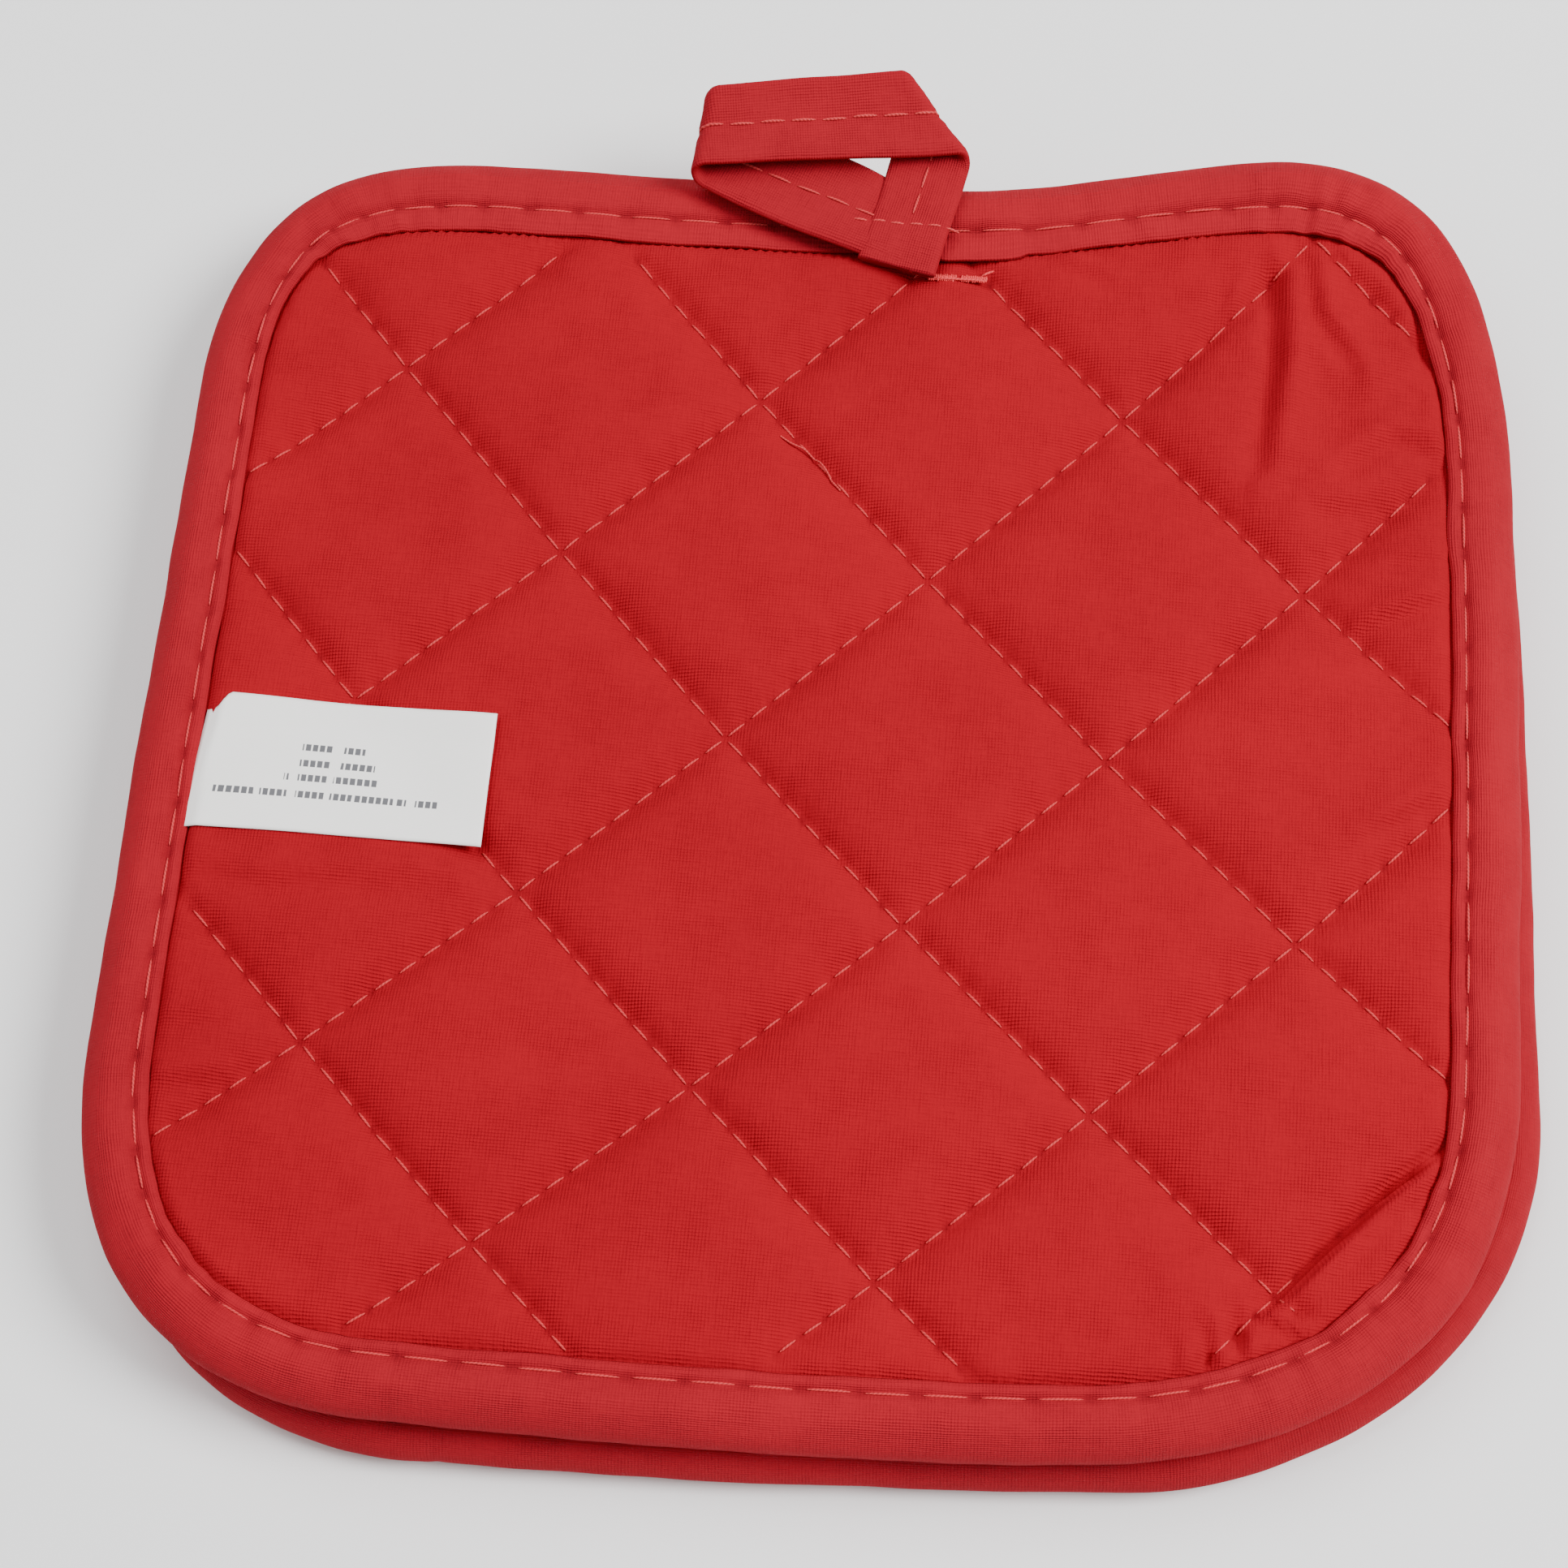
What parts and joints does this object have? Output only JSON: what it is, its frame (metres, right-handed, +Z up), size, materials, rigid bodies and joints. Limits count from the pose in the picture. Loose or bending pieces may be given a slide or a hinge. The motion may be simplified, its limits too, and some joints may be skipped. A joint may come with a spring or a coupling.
{
  "type": "pot holder pair",
  "caption": "Square quilted cotton pot holders with bound edges, hanging loops and sewn labels, stacked one on the other, for gripping hot cookware.",
  "frame": {"origin": "on the surface the stack rests on, under the middle of the upper pot holder", "axes": "+Z up from the resting surface, +Y towards the hanging loops, +X to the right with the labels at the left"},
  "size_m": [0.1824, 0.1922, 0.0286],
  "materials": {
    "red_quilted_cotton": "plain woven cotton, matt",
    "red_binding_tape": "folded cotton tape, matt",
    "red_thread": "sewing thread, slight sheen",
    "pink_thread": "sewing thread, slight sheen",
    "cotton_batting": "loose needled fibre",
    "white_label": "smooth woven label satin"
  },
  "bodies": {
    "lower_pad": {"lower_binding_tape": "red_binding_tape", "lower_face_panel": "red_quilted_cotton", "lower_batting": "cotton_batting", "lower_back_panel": "red_quilted_cotton", "lower_quilting_thread_face": "red_thread", "lower_quilting_thread_back": "red_thread", "lower_binding_stitch_face": "red_thread", "lower_binding_stitch_back": "red_thread", "lower_care_label": "white_label", "lower_field_bartack": "pink_thread", "lower_loop_ends": "red_binding_tape", "lower_loop_anchor_stitch": "red_thread", "lower_hanging_loop": "red_binding_tape", "lower_loop_stitch": "red_thread"},
    "upper_pad": {"upper_binding_tape": "red_binding_tape", "upper_face_panel": "red_quilted_cotton", "upper_batting": "cotton_batting", "upper_back_panel": "red_quilted_cotton", "upper_quilting_thread_face": "red_thread", "upper_quilting_thread_back": "red_thread", "upper_binding_stitch_face": "red_thread", "upper_binding_stitch_back": "red_thread", "upper_field_bartack": "pink_thread", "upper_loop_ends": "red_binding_tape", "upper_loop_anchor_stitch": "red_thread"},
    "upper_loop": {"upper_hanging_loop": "red_binding_tape", "upper_loop_stitch": "red_thread"},
    "upper_label": {"upper_care_label": "white_label"}
  },
  "joints": [
    {"name": "lift_off", "type": "slide", "parent": "lower_pad", "child": "upper_pad", "axis": [0, 0, 1], "range_m": [0, 0.1]},
    {"name": "loop_swing", "type": "hinge", "parent": "upper_pad", "child": "upper_loop", "pos_m": [0.0055, 0.08028, 0.01888], "axis": [1, 0, 0], "range_deg": [0, 150]},
    {"name": "label_flip", "type": "hinge", "parent": "upper_pad", "child": "upper_label", "pos_m": [-0.0791, -0.00669, 0.01562], "axis": [0, -0.9999, -0.0122], "range_deg": [0, 150]}
  ]
}
